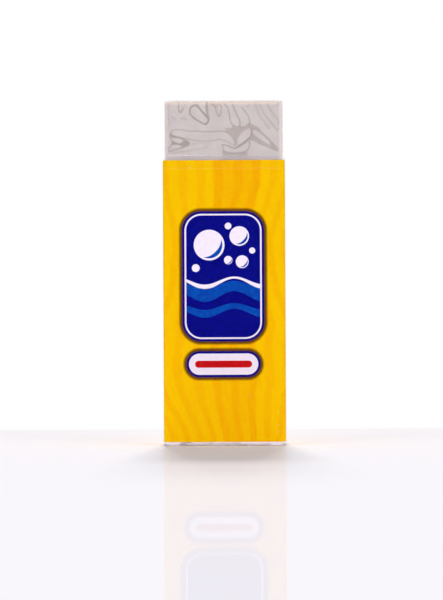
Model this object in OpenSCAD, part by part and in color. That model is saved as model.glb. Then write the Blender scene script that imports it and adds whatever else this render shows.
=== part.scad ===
// Rubber eraser in a printed card sleeve, overwrapped in clear film.
// It stands on its lower end: X is the width, -Y the printed front and +Z up,
// with the origin in the middle of the face that it stands on.

/* [Rubber block] */
// Width of the block
block_w = 21; // [16:0.5:28]
// Thickness of the block, front to back
block_t = 11; // [8:0.5:16]
// Length of the block
block_l = 61; // [45:1:75]
// Radius of the block's edges
block_edge_r = 0.5; // [0.2:0.1:1.2]

/* [Card sleeve] */
// Thickness of the card
card_t = 0.3; // [0.2:0.05:0.4]
// Length of the block left bare above the sleeve
bare_l = 10.6; // [6:0.2:30]
// Clearance between the block and the card
sleeve_gap = 0.08; // [0.04:0.01:0.3]
// Inside radius of the creased corners
crease_inner_r = 0.15; // [0.1:0.05:0.25]
// Width of the glue flap under the back panel
glue_flap_w = 8; // [4:0.5:12]
// Setback of the back panel's free edge from the side of the sleeve
free_edge_setback = 0.5; // [0.4:0.05:1.5]

/* [Film wrap] */
// Thickness of the film
film_t = 0.05; // [0.03:0.01:0.08]
// Clearance between the wrapped pieces and what the film carries on its inside
film_gap = 0.02; // [0.01:0.01:0.1]
// Height over which the film steps in from the sleeve's edge to the block
bridge_l = 0.8; // [0.5:0.1:2]
// Width of the lap seam down the back
seam_w = 4; // [2:0.5:8]
// Height of the folded film under the lower end
foot_fold_h = 0.7; // [0.3:0.1:1.2]
// Height of the folded film over the upper end
top_fold_h = 0.3; // [0.2:0.05:1]
// Overlap of the two end flaps
flap_overlap = 1.4; // [0.8:0.2:4]
// Angle between an end flap's base and its side edges
flap_angle = 65; // [60:1:80]
// Length of the side tucks under the flaps
tuck_l = 6; // [3:0.5:7.5]

/* [Tear tape] */
// Width of the tear tape
tape_w = 2.3; // [2:0.1:4]
// Thickness of the tear tape
tape_t = 0.04; // [0.03:0.01:0.06]

/* [Hidden] */

// Arcs that are kept as true circles
$fn = 48;
// Straight steps round one corner of the film
corner_steps = 6;
// How far a cutting shape starts below what it cuts
eps = 0.01;
// How deep two plies of film are sealed into each other
seal_depth = film_t / 4;
// How far a gusset's tip runs into its flap
gusset_bite = 0.4;

block_z0 = foot_fold_h;
block_z1 = block_z0 + block_l;
total_h = block_z1 + top_fold_h;

// The glue flap adds one card thickness behind the block, so the block sits forward of the middle
block_y = -card_t / 2;
sleeve_w = block_w + 2 * (sleeve_gap + card_t);
sleeve_t = block_t + 2 * sleeve_gap + 3 * card_t;
sleeve_l = block_l - bare_l;
sleeve_z1 = block_z0 + sleeve_l;
crease_r = crease_inner_r + card_t;

// Inside of the film, measured from the piece that it wraps
film_slack = tape_t + film_gap;
bridge_z1 = sleeve_z1 + bridge_l;
tape_z0 = bridge_z1 - tape_w;
flap_run = 1 / tan(flap_angle);

// A section of the film's inside: [height, width, front y, back y, corner radius]
function sleeve_section(z) = [
    z,
    sleeve_w + 2 * film_slack,
    -sleeve_t / 2 - film_slack,
    sleeve_t / 2 + film_slack,
    crease_r + film_slack
];
function block_section(z) = [
    z,
    block_w + 2 * film_slack,
    block_y - block_t / 2 - film_slack,
    block_y + block_t / 2 + film_slack,
    block_edge_r + film_slack
];

// Points of a section, grown outwards by grow, one rounded corner after the other
function section_points(s, grow) =
    let (
        x = s[1] / 2 - s[4],
        y0 = s[2] + s[4],
        y1 = s[3] - s[4],
        r = s[4] + grow,
        corners = [[x, y0, 270], [x, y1, 0], [-x, y1, 90], [-x, y0, 180]]
    )
    [for (c = corners, i = [0:corner_steps])
        let (a = c[2] + 90 * i / corner_steps)
        [c[0] + r * cos(a), c[1] + r * sin(a), s[0]]];

// Rounded rectangle with true arcs, centred on the origin
module rounded_rect(a, b, r) {
    square([a - 2 * r, b], center = true);
    square([a, b - 2 * r], center = true);
    for (x = [-1, 1], y = [-1, 1])
        translate([x * (a / 2 - r), y * (b / 2 - r)]) circle(r);
}

// Thin tube through a list of sections, from lo to hi outside their outline
module section_tube(sections, lo, hi) {
    n = 4 * (corner_steps + 1);
    m = len(sections);
    points = [for (grow = [hi, lo], s = sections) each section_points(s, grow)];
    // Index of point i of section k, on the outside (side 0) or the inside (side 1)
    function at(side, k, i) = (side * m + k) * n + i % n;
    walls = [for (k = [0:m - 2], i = [0:n - 1]) each [
        [at(0, k, i), at(0, k + 1, i), at(0, k + 1, i + 1)],
        [at(0, k, i), at(0, k + 1, i + 1), at(0, k, i + 1)],
        [at(1, k, i), at(1, k + 1, i + 1), at(1, k + 1, i)],
        [at(1, k, i), at(1, k, i + 1), at(1, k + 1, i + 1)]
    ]];
    ends = [for (i = [0:n - 1]) each [
        [at(0, 0, i), at(0, 0, i + 1), at(1, 0, i + 1)],
        [at(0, 0, i), at(1, 0, i + 1), at(1, 0, i)],
        [at(0, m - 1, i), at(1, m - 1, i + 1), at(0, m - 1, i + 1)],
        [at(0, m - 1, i), at(1, m - 1, i), at(1, m - 1, i + 1)]
    ]];
    polyhedron(points, concat(walls, ends));
}

// Vinyl block, moulded with soft edges
module rubber_block() {
    color("#cdc3c1")
    translate([0, block_y, block_z0 + block_l / 2])
    intersection() {
        linear_extrude(block_l, center = true)
            rounded_rect(block_w, block_t, block_edge_r);
        rotate([90, 0, 0]) linear_extrude(block_t, center = true)
            rounded_rect(block_w, block_l, block_edge_r);
        rotate([0, 90, 0]) linear_extrude(block_w, center = true)
            rounded_rect(block_l, block_t, block_edge_r);
    }
}

// Quarter of a creased corner, from angle to angle + 90
module crease(x, y, angle) {
    translate([x, y]) rotate(angle)
    intersection() {
        difference() {
            circle(crease_r);
            circle(crease_inner_r);
        }
        square(crease_r);
    }
}

// Card band: four panels, creased corners and a glue flap under the back panel
module card_sleeve() {
    x = sleeve_w / 2 - crease_r;
    y = sleeve_t / 2 - crease_r;
    // The left side stops one card thickness short, where the glue flap turns in
    y_flap = y - card_t;
    color("#fabe05")
    translate([0, 0, block_z0])
    linear_extrude(sleeve_l) {
        // Front panel
        translate([-x, -sleeve_t / 2]) square([2 * x, card_t]);
        // Right side
        translate([sleeve_w / 2 - card_t, -y]) square([card_t, 2 * y]);
        // Left side
        translate([-sleeve_w / 2, -y]) square([card_t, y + y_flap]);
        // Back panel, whose free edge lies over the glue flap
        translate([-sleeve_w / 2 + free_edge_setback, sleeve_t / 2 - card_t])
            square([sleeve_w / 2 + x - free_edge_setback, card_t]);
        // Glue flap
        translate([-x, sleeve_t / 2 - 2 * card_t]) square([glue_flap_w, card_t]);
        crease(x, -y, 270);
        crease(x, y, 0);
        crease(-x, y_flap, 90);
        crease(-x, -y, 180);
    }
}

// Side tuck at the left, flat against the end of the tube whose outline is s
module side_tuck(s) {
    w = s[1] + 2 * film_t;
    translate([0, 0, -film_t]) linear_extrude(film_t)
    intersection() {
        polygon([for (p = section_points(s, film_t)) [p[0], p[1]]]);
        translate([-w / 2, s[2] - film_t]) square([tuck_l, s[3] - s[2] + 2 * film_t]);
    }
}

// Gusset between a tuck's edge and the side edge of the front flap, at the left
module gusset(w, t, r, h, flap_l, lift) {
    // The tip runs into the flap, so that the two are one sheet there
    tip_x = -w / 2 + r + (h + flap_l) * flap_run + gusset_bite;
    tip_y = -t / 2 + flap_l - gusset_bite;
    tip_z = -h + lift;
    polyhedron(
        [
            [-w / 2 + r, -t / 2, 0],
            [-w / 2 + tuck_l, -t / 2, 0],
            [tip_x, tip_y, tip_z + film_t],
            [-w / 2 + r, -t / 2, -film_t],
            [-w / 2 + tuck_l, -t / 2, -film_t],
            [tip_x, tip_y, tip_z]
        ],
        [[0, 2, 1], [3, 4, 5], [0, 1, 4, 3], [1, 2, 5, 4], [2, 0, 3, 5]]
    );
}

// One flap with the short wall above it: its profile, cut to a narrowing outline.
// The flap with a joggle rises one ply at that distance, to lie on the other flap.
module flap(w, t, r, h, flap_l, joggle = 0) {
    wall_half = w / 2 - r;
    base_half = wall_half - h * flap_run;
    tip_half = base_half - flap_l * flap_run;
    // The wall under the end of what is wrapped
    translate([0, -t / 2 + film_t, 0]) rotate([90, 0, 0]) linear_extrude(film_t)
        polygon([[-wall_half, 0], [-base_half, -h], [base_half, -h], [wall_half, 0]]);
    // The flap itself, along the outer face of the fold
    intersection() {
        translate([0, 0, -h - eps]) linear_extrude(h)
            polygon([
                [-base_half, -t / 2],
                [base_half, -t / 2],
                [tip_half, -t / 2 + flap_l],
                [-tip_half, -t / 2 + flap_l]
            ]);
        translate([-w / 2, -t / 2, -h]) rotate([90, 0, 90]) linear_extrude(w)
            if (joggle > 0)
                polygon([
                    [0, 0],
                    [joggle, 0],
                    [joggle, film_t - seal_depth],
                    [flap_l + eps, film_t - seal_depth],
                    [flap_l + eps, 2 * film_t],
                    [joggle - film_t, 2 * film_t],
                    [joggle - film_t, film_t],
                    [0, film_t]
                ]);
            else
                square([flap_l + eps, film_t]);
    }
}

// Envelope fold over one end of a tube whose outline is s, drawn below height 0
module end_fold(s, h) {
    w = s[1] + 2 * film_t;
    t = s[3] - s[2] + 2 * film_t;
    r = s[4] + film_t;
    flap_l = (t + flap_overlap) / 2;
    for (side = [0, 1]) mirror([side, 0, 0]) side_tuck(s);
    translate([0, (s[2] + s[3]) / 2, 0]) {
        for (side = [0, 1]) mirror([side, 0, 0]) {
            gusset(w, t, r, h, flap_l, film_t);
            mirror([0, 1, 0]) gusset(w, t, r, h, flap_l, 0);
        }
        // The front flap is folded first and lies on the back one where they overlap
        flap(w, t, r, h, flap_l, joggle = t - flap_l);
        mirror([0, 1, 0]) flap(w, t, r, h, flap_l);
    }
}

// Lap seam down the back, where the sheet's outer edge lies over its inner one
module lap_seam(sections) {
    inner = [for (s = sections) [s[3] + film_t - seal_depth, s[0]]];
    outer = [for (i = [len(sections) - 1:-1:0]) [sections[i][3] + 2 * film_t, sections[i][0]]];
    translate([-seam_w / 2, 0, 0]) rotate([90, 0, 90]) linear_extrude(seam_w)
        polygon(concat(inner, outer));
}

// Clear film: one sheet wrapped round the sleeve and the block, folded in at both ends
module film_wrap() {
    sections = [
        sleeve_section(block_z0 - film_t),
        sleeve_section(sleeve_z1),
        block_section(bridge_z1),
        block_section(block_z1 + film_t)
    ];
    color("#e8e4f0", 0.3) {
        section_tube(sections, 0, film_t);
        lap_seam(sections);
        translate([0, 0, block_z0]) end_fold(sections[0], foot_fold_h);
        translate([0, 0, block_z1]) mirror([0, 0, 1]) end_fold(sections[3], top_fold_h);
    }
}

// Clear tear tape, bonded to the inside of the film round the sleeve's upper edge
module tear_tape() {
    color("#dcd8e8", 0.5)
    section_tube(
        [
            sleeve_section(tape_z0),
            sleeve_section(sleeve_z1),
            block_section(bridge_z1)
        ],
        -tape_t,
        0
    );
}

rubber_block();
card_sleeve();
film_wrap();
tear_tape();
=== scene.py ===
"""Looks for a rubber eraser in a printed card sleeve, overwrapped in clear film.

The vinyl block, the card sleeve and the tear tape are shown as packed. The film is a new sheet
over them, with the cling marks, creases and folded ends that a real one has. X is the width,
-Y the printed front and +Z up, in metres. Sizes inside the functions are in millimetres.
"""

import math

import bmesh
import bpy
import numpy as np
from mathutils import Euler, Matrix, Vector, noise


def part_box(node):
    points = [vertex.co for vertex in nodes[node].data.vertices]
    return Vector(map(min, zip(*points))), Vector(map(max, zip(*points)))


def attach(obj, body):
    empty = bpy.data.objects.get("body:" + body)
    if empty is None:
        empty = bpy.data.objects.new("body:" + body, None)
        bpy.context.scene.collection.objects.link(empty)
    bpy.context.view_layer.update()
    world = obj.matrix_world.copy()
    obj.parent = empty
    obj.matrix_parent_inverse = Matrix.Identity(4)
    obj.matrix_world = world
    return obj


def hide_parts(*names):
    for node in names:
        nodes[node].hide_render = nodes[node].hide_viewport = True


MM = 0.001

# The photograph: its size and what was measured in it, in pixels
PHOTO_W = 443
PHOTO_H = 600
SLEEVE_LEFT_PX = 163.6
SLEEVE_RIGHT_PX = 285.3
SLEEVE_BOTTOM_PX = 441.9
HORIZON_PX = 429.0
# The picture's tilt, counterclockwise, in degrees
PICTURE_TILT = 0.27
# How far the camera stands from the printed front
CAMERA_DISTANCE = 600.0
SENSOR_W = 36.0
FLOOR_HALF = 3000.0

# How brightly the white room lights the object
ROOM_LIGHT = 0.40
# The lamps, which make up the rest: name, azimuth, elevation, share and spread, as soft_sun takes them
LAMPS = [
    ("left_front", -40, 12, 0.31, 45),
    ("right_front", 40, 12, 0.31, 45),
    ("low_back", 180, 30, 0.34, 12),
    ("high_back", 180, 45, 0.41, 12),
]

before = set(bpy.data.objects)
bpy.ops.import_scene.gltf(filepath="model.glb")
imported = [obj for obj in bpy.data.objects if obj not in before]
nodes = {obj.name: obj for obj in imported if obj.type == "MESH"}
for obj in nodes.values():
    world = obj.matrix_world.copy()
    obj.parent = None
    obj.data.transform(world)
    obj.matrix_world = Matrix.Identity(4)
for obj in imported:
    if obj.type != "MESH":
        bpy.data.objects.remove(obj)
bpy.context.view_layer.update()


def node_box(name):
    """The lowest and highest corners of a CAD node, in mm."""
    low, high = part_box(name)
    return low / MM, high / MM


BLOCK_LOW, BLOCK_HIGH = node_box("rubber_block")
SLEEVE_LOW, SLEEVE_HIGH = node_box("card_sleeve")
TAPE_LOW, TAPE_HIGH = node_box("tear_tape")
FILM_LOW, FILM_HIGH = node_box("film_wrap")

# Outside radii of the creased card and of the block, as in the CAD model
CREASE_R = 0.45
BLOCK_R = 0.5
# Gap between the film and what it wraps: on the card, and where it lifts off the block or touches it
CARD_GAP = 0.09
LIFTED_GAP = 0.07
TOUCHING_GAP = 0.012
# Length of the film's slope from the sleeve's upper edge to the block, and the height where it ends
BRIDGE_L = TAPE_HIGH.z - SLEEVE_HIGH.z
BRIDGE_TOP = SLEEVE_HIGH.z + BRIDGE_L
# The folded ends: angle between a flap's base and its side edges, length of the tucks, how far the two
# flaps overlap, and how far the front one stands off the other
FLAP_ANGLE = math.radians(65)
TUCK_L = 6.0
FLAP_OVERLAP = 1.4
FLAP_LIFT = 0.07
SEAM_W = 4.0


# Small tools


def rise(low, high, value):
    """0 at low, 1 at high and smooth between them, either way round."""
    t = np.clip((np.asarray(value, float) - low) / (high - low), 0.0, 1.0)
    return t * t * (3 - 2 * t)


def bump(centre, half_width, value):
    """1 at centre, falling smoothly to 0 at half_width either side."""
    return 1 - rise(0.0, half_width, np.abs(np.asarray(value, float) - centre))


def curve_through(points, closed=False, steps=8):
    """A smooth line through points: Catmull-Rom, steps segments to a span."""
    pts = np.array(points, float)
    if closed:
        padded = np.vstack([pts[-1], pts, pts[0], pts[1]])
    else:
        padded = np.vstack([2 * pts[0] - pts[1], pts, 2 * pts[-1] - pts[-2]])
    out = []
    for p0, p1, p2, p3 in zip(padded, padded[1:], padded[2:], padded[3:]):
        for k in range(steps):
            t = k / steps
            linear = (p2 - p0) * t
            square = (2 * p0 - 5 * p1 + 4 * p2 - p3) * t**2
            cube = (3 * p1 - p0 - 3 * p2 + p3) * t**3
            out.append(0.5 * (2 * p1 + linear + square + cube))
    if not closed:
        out.append(padded[-2])
    return np.array(out)


def distance_to(points, line, closed=False):
    """Least distance from each of points to a line of straight pieces."""
    ends = np.roll(line, -1, axis=0)
    pieces = len(line) if closed else len(line) - 1
    best = np.full(len(points), np.inf)
    for a, b in zip(line[:pieces], ends[:pieces]):
        d = b - a
        t = np.clip(((points - a) @ d) / max(d @ d, 1e-12), 0, 1)
        best = np.minimum(best, np.linalg.norm(points - a - t[:, None] * d, axis=1))
    return best


def inside(points, line):
    """True where a point lies in a closed line."""
    x, y = points[:, 0], points[:, 1]
    found = np.zeros(len(points), bool)
    for (x0, y0), (x1, y1) in zip(line, np.roll(line, -1, axis=0)):
        crosses = (y0 > y) != (y1 > y)
        if y1 != y0:
            found ^= crosses & (x < (x1 - x0) * (y - y0) / (y1 - y0) + x0)
    return found


def outside_by(points, corners):
    """Distance from the smooth closed line through corners, negative inside it."""
    line = curve_through(corners, closed=True, steps=5)
    return distance_to(points, line, closed=True) * np.where(inside(points, line), -1, 1)


def noise_at(points, scale, seed, octaves=2):
    """Smooth noise from about -1 to 1 at each 3-D point, with features about scale wide."""
    shift = Vector((seed * 17.3, seed * 5.1, seed * 9.7))
    return np.array([noise.fractal(Vector(p) / scale + shift, 0.6, 2.0, octaves) for p in points])


def link(obj):
    bpy.context.scene.collection.objects.link(obj)
    return obj


def new_piece(name, mesh, material, smooth=True):
    """A mesh as a piece of the object, riding on the one body."""
    mesh.materials.append(material)
    for polygon in mesh.polygons:
        polygon.use_smooth = smooth
    obj = link(bpy.data.objects.new(name, mesh))
    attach(obj, "root")
    return obj


def mesh_from(name, built):
    """A mesh from what was built in bmesh."""
    mesh = bpy.data.meshes.new(name)
    built.to_mesh(mesh)
    built.free()
    return mesh


# Materials


class Number:
    """A number that a material works out at each point, which takes plain arithmetic."""

    def __init__(self, graph, socket):
        self.graph = graph
        self.socket = socket

    def __add__(self, other):
        return self.graph.math("ADD", self, other)

    def __sub__(self, other):
        return self.graph.math("SUBTRACT", self, other)

    def __rsub__(self, other):
        return self.graph.math("SUBTRACT", other, self)

    def __mul__(self, other):
        return self.graph.math("MULTIPLY", self, other)

    def __truediv__(self, other):
        return self.graph.math("DIVIDE", self, other)

    def __abs__(self):
        return self.graph.math("ABSOLUTE", self)


class Graph:
    """The node tree of a material or the world, with short calls for the nodes used here."""

    def __init__(self, owner, output="ShaderNodeOutputMaterial"):
        owner.use_nodes = True
        self.owner = owner
        self.tree = owner.node_tree
        self.tree.nodes.clear()
        self.output = self.node(output)

    def node(self, kind, inputs=(), **settings):
        """A node with its settings and its inputs, which are given in order or by name."""
        made = self.tree.nodes.new(kind)
        for key, value in settings.items():
            setattr(made, key, value)
        for key, value in inputs.items() if isinstance(inputs, dict) else enumerate(inputs):
            self.put(made.inputs[key], value)
        return made

    def put(self, socket, value):
        if isinstance(value, Number):
            value = value.socket
        if isinstance(value, bpy.types.NodeSocket):
            self.tree.links.new(value, socket)
        elif value is not None:
            socket.default_value = value

    def math(self, operation, a, b=None, clamp=False):
        made = self.node("ShaderNodeMath", (a, b), operation=operation, use_clamp=clamp)
        return Number(self, made.outputs[0])

    def most(self, a, b):
        return self.math("MAXIMUM", a, b)

    def ramp(self, value, low, high, out_low=0.0, out_high=1.0):
        """value's smooth step from low to high, put on out_low to out_high."""
        inputs = (value, low, high, out_low, out_high)
        made = self.node("ShaderNodeMapRange", inputs, interpolation_type="SMOOTHSTEP")
        return Number(self, made.outputs[0])

    def colours(self, factor, a, b, blend="MIX"):
        inputs = {"Factor": factor, "A": a, "B": b}
        made = self.node("ShaderNodeMix", inputs, data_type="RGBA", blend_type=blend)
        return made.outputs["Result"]

    def split(self, vector):
        made = self.node("ShaderNodeSeparateXYZ", (vector,))
        return [Number(self, socket) for socket in made.outputs]

    def place(self):
        """The point in the row frame, as x, y and z in mm."""
        coordinates = self.node("ShaderNodeTexCoord").outputs["Object"]
        return [number * (1 / MM) for number in self.split(coordinates)]

    def normal(self):
        return self.split(self.node("ShaderNodeNewGeometry").outputs["Normal"])

    def vector(self, x, y, z):
        return self.node("ShaderNodeCombineXYZ", (x, y, z)).outputs[0]

    def noise(self, vector, scale, detail=2.0, roughness=0.5):
        inputs = {"Vector": vector, "Scale": scale, "Detail": detail, "Roughness": roughness}
        return Number(self, self.node("ShaderNodeTexNoise", inputs).outputs["Fac"])

    def bump(self, height, strength, distance):
        inputs = {"Height": height, "Strength": strength, "Distance": distance * MM}
        return self.node("ShaderNodeBump", inputs).outputs["Normal"]

    def attribute(self, name):
        return Number(self, self.node("ShaderNodeAttribute", attribute_name=name).outputs["Fac"])

    def grazing(self):
        """0 where the surface faces the eye, rising steeply to 1 at its outline, as gloss does."""
        made = self.node("ShaderNodeLayerWeight", {"Blend": 0.5})
        return self.math("POWER", made.outputs["Facing"], 5.0)

    def shader(self, kind, **inputs):
        """A shader, its inputs named with _ for each space."""
        named = {key.replace("_", " "): value for key, value in inputs.items()}
        return self.node(kind, named).outputs[0]

    def mix_shaders(self, factor, a, b):
        return self.node("ShaderNodeMixShader", (factor, a, b)).outputs[0]

    def finish(self, shader):
        self.put(self.output.inputs["Surface"], shader)
        return self.owner


def material_graph(name):
    return Graph(bpy.data.materials.new(name))


def srgb(*values):
    """A linear colour from sRGB values of 0 to 255."""
    scaled = [value / 255 for value in values]
    linear = [c / 12.92 if c <= 0.04045 else ((c + 0.055) / 1.055) ** 2.4 for c in scaled]
    return (*linear, 1.0)


WHITE = (1, 1, 1, 1)

VINYL = srgb(203, 194, 192)
VINYL_CLOUD = srgb(208, 201, 197)
VINYL_DARK_SPECK = srgb(176, 166, 163)
VINYL_PALE_SPECK = srgb(224, 218, 216)
# Painted glow colours for the block's upright and top edges
VINYL_UPRIGHT_EDGE_PAINTED_GLOW = srgb(237, 225, 220)
VINYL_TOP_EDGE_PAINTED_GLOW = srgb(238, 220, 208)
# How far the painted glow reaches in from the block's moulded edges, and how near the face it is full
GLOW_REACH = 0.95
GLOW_FULL = 0.1


def vinyl_material():
    """Light warm grey vinyl with fine specks, slightly translucent, with a painted pale glow along its
    edges.
    """
    g = material_graph("vinyl")
    x, y, z = g.place()
    point = g.vector(x, y, z)
    clouds = g.noise(point, 0.35, detail=3.0)
    specks = g.noise(point, 9.0, detail=2.0, roughness=0.7)
    colour = g.colours(g.ramp(clouds, 0.3, 0.7), VINYL, VINYL_CLOUD)
    colour = g.colours(g.ramp(specks, 0.62, 0.74, 0.0, 0.35), colour, VINYL_DARK_SPECK)
    colour = g.colours(g.ramp(specks, 0.36, 0.26, 0.0, 0.3), colour, VINYL_PALE_SPECK)
    # Painted glow: the moulded edges are painted paler and warmer, as if lit through from behind, most of
    # all on the right
    near_side = g.most(
        g.ramp(x, BLOCK_LOW.x + 0.6, BLOCK_LOW.x, 0.0, 0.5),
        g.ramp(x, BLOCK_HIGH.x - 0.8, BLOCK_HIGH.x - GLOW_FULL, 0.0, 0.8),
    )
    near_top = g.ramp(z, BLOCK_HIGH.z - GLOW_REACH, BLOCK_HIGH.z - GLOW_FULL)
    near_face = g.most(
        g.ramp(y, BLOCK_LOW.y + GLOW_REACH, BLOCK_LOW.y + GLOW_FULL),
        g.ramp(y, BLOCK_HIGH.y - GLOW_REACH, BLOCK_HIGH.y - GLOW_FULL),
    )
    colour = g.colours(near_side * near_face, colour, VINYL_UPRIGHT_EDGE_PAINTED_GLOW)
    colour = g.colours(near_top * g.most(near_side, near_face), colour, VINYL_TOP_EDGE_PAINTED_GLOW)
    shader = g.shader(
        "ShaderNodeBsdfPrincipled",
        Base_Color=colour,
        Roughness=0.62,
        Specular_IOR_Level=0.3,
        Subsurface_Weight=0.25,
        Subsurface_Radius=(1.0, 0.62, 0.5),
        Subsurface_Scale=1.2 * MM,
        Normal=g.bump(g.noise(point, 5.0, detail=4.0), 0.25, 0.03),
    )
    return g.finish(shader)


INK_YELLOW = srgb(255, 206, 2)
INK_ORANGE = srgb(250, 174, 2)
# Painted shade: what the inks are multiplied by towards the sleeve's upper edge, which evens out the light
# that falls brighter there
PAINTED_TOP_SHADE = (0.95, 0.95, 0.95, 1)
BOARD = srgb(226, 222, 214)
BOARD_FIBRE = srgb(242, 239, 233)
FRONT_Y = -6.03
# The printed waves. Their pitch; the heights between which they draw together going down, with the share
# that they lose; the heights between which they lean right going down; and where the one goes into the other
STRIPE_PITCH = 3.28
GATHER_Z = (49.5, 36.0)
GATHER_SHARE = 0.26
LEAN_Z = (12.5, 0.0)
LEAN_MOST = 1.15
BLEND_Z = (20.0, 34.0)
# The heights between which the print deepens going down
DEEPEN_Z = (42.0, 4.0)
DOT_PITCH = 0.3


def wave_lines(g, around, z):
    """How far across the printed waves a point is: their crests are whole pitches."""
    gather = g.ramp(z, *GATHER_Z, 0.0, GATHER_SHARE)
    top = (around + gather * 3.2) / (1.0 - gather) + 0.95
    lean = g.ramp(z, *LEAN_Z, 0.0, LEAN_MOST)
    bottom = (around - lean * 1.28) / (1.0 - lean * 0.25) + (STRIPE_PITCH - 1.6)
    blend = g.ramp(z, *BLEND_Z)
    along = top * blend + bottom * (1.0 - blend)
    sway = g.noise(g.vector(around * 0.55, 0.0, z), 0.14)
    along = along + (sway - 0.5) * 2.2
    rough = g.noise(g.vector(around, 5.0, z), 1.4, detail=3.0)
    return along + (rough - 0.5) * 0.25


def print_tone(g, around, point, z):
    """How orange the print is, from 0 to 1."""
    along = wave_lines(g, around, z)
    wave = g.math("COSINE", along * (2 * math.pi / STRIPE_PITCH))
    # Each band swells, thins out and in places breaks off
    swell = g.noise(g.vector(along, 20.0, z * 0.3), 0.55)
    stripe = g.ramp(wave + (swell - 0.5) * 1.6, -0.05, 0.35)
    # Three bands from the front's middle to the right, and what lies between them, are printed deeper
    from_middle = abs(along - STRIPE_PITCH)
    deep = g.ramp(from_middle, 1.2 * STRIPE_PITCH, 1.36 * STRIPE_PITCH, 1.0, 0.0)
    slant = g.vector(around * 1.6 + z * 0.35, 0.0, z * 0.2)
    streaks = (g.noise(slant, 0.9, detail=3.0) - 0.5) * 0.55
    # Towards the bottom the whole print is deeper, and the three bands stand out less from it
    tone = g.ramp(z, *DEEPEN_Z, 0.17, 0.25) + stripe * 0.32
    tone = tone + deep * g.ramp(z, *DEEPEN_Z, 0.38, 0.20)
    tone = tone + streaks
    # Fine printed dots and the unevenness of the ink
    turn = 2 * math.pi / DOT_PITCH
    dots = g.math("COSINE", (around + z) * turn) * g.math("COSINE", (around - z) * turn)
    grit = g.noise(point, 2.6, detail=1.0)
    return g.math("ADD", tone + dots * 0.12, grit - 0.5, clamp=True)


def card_material():
    """Yellow printed card with faint orange waves that fan towards the top, white where it is cut."""
    g = material_graph("printed_card")
    x, y, z = g.place()
    point = g.vector(x, y, z)
    # One coordinate round the sleeve, equal to x on the printed front
    around = x - y + FRONT_Y
    ink = g.colours(print_tone(g, around, point, z), INK_YELLOW, INK_ORANGE)
    # Painted shade, darker towards the sleeve's upper edge
    ink = g.colours(1.0, ink, g.colours(g.ramp(z, 4.0, 48.0), WHITE, PAINTED_TOP_SHADE), "MULTIPLY")
    # The inside and the cut edges are white
    nx, ny, nz = g.normal()
    cut = g.math("GREATER_THAN", abs(nz), 0.5)
    bare = g.most(cut, g.math("LESS_THAN", nx * x + ny * y, 0.0))
    fibres = g.noise(g.vector(x, y, z * 0.3), 3.0, detail=3.0)
    shader = g.shader(
        "ShaderNodeBsdfPrincipled",
        Base_Color=g.colours(bare, ink, g.colours(fibres, BOARD, BOARD_FIBRE)),
        Roughness=0.5,
        Specular_IOR_Level=0.01,
        Normal=g.bump(g.noise(point, 2.2, detail=3.0), 0.15, 0.02),
    )
    return g.finish(shader)


# What the clear film lets through: where it is off the block, and where it is pressed to it or carries
# painted shade
FILM_CLEAR = (0.985, 0.985, 0.99, 1)
FILM_PRESSED_AND_SHADED = (0.74, 0.711, 0.69, 1)
# The white of frosted creases and of painted highlights on the film
FILM_WHITE = srgb(252, 239, 248)
# The film's gloss beside the yellow sleeve
CARD_GLEAM = (1.0, 0.98, 0.6, 1)
FILM_GLOSS = 0.75
LEAST_GLOSS = 0.001


def film_material():
    """Clear film: it darkens what it touches and where shade is painted, whitens where it is creased and
    where highlights are painted, and mirrors at its edges.
    """
    g = material_graph("clear_film")
    tint = g.colours(g.attribute("touch") * 0.5, FILM_CLEAR, FILM_PRESSED_AND_SHADED)
    clear = g.shader("ShaderNodeBsdfTransparent", Color=tint)
    x, y, z = g.place()
    # Beside the sleeve the film's edge picks up the card's yellow
    over_foot = g.ramp(z, SLEEVE_LOW.z + 0.2, SLEEVE_LOW.z + 0.4)
    on_card = over_foot * g.ramp(z, SLEEVE_HIGH.z + 0.1, SLEEVE_HIGH.z - 0.1)
    gloss = g.shader("ShaderNodeBsdfGlossy", Color=g.colours(on_card, WHITE, CARD_GLEAM), Roughness=0.07)
    # The slack film beside the block, just above the sleeve, is too thin and bright there to be seen
    outside = g.ramp(abs(x), BLOCK_HIGH.x - 0.3, BLOCK_HIGH.x - 0.05)
    above = g.ramp(z, SLEEVE_HIGH.z - 0.2, SLEEVE_HIGH.z)
    below = g.ramp(z, SLEEVE_HIGH.z + 1.5, SLEEVE_HIGH.z + 1.0)
    slack = outside * (above * below)
    mirror = g.grazing() * ((1.0 - slack) * FILM_GLOSS)
    skin = g.mix_shaders(g.math("ADD", mirror, LEAST_GLOSS, clamp=True), clear, gloss)
    # Frost and painted highlights show as diffuse white
    creases_and_highlights = g.shader("ShaderNodeBsdfDiffuse", Color=FILM_WHITE)
    return g.finish(g.mix_shaders(g.attribute("frost_and_highlight"), skin, creases_and_highlights))


def tape_material():
    """Clear tear tape, a little milky."""
    g = material_graph("clear_tape")
    clear = g.shader("ShaderNodeBsdfTransparent", Color=(0.998, 0.998, 1.0, 1))
    milky = g.shader("ShaderNodeBsdfPrincipled", Base_Color=srgb(226, 220, 236), Roughness=0.2)
    mirror = g.math("ADD", g.grazing() * 0.04, LEAST_GLOSS, clamp=True)
    return g.finish(g.mix_shaders(mirror, clear, milky))


def ink_material(name, colour, shade=None):
    """Printed ink, with the press's slight unevenness."""
    g = material_graph(name)
    mottle = g.noise(g.vector(*g.place()), 1.6, detail=3.0)
    tone = g.colours(g.ramp(mottle, 0.3, 0.75), colour, shade or colour)
    shader = g.shader("ShaderNodeBsdfPrincipled", Base_Color=tone, Roughness=0.45, Specular_IOR_Level=0.03)
    return g.finish(shader)


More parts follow.
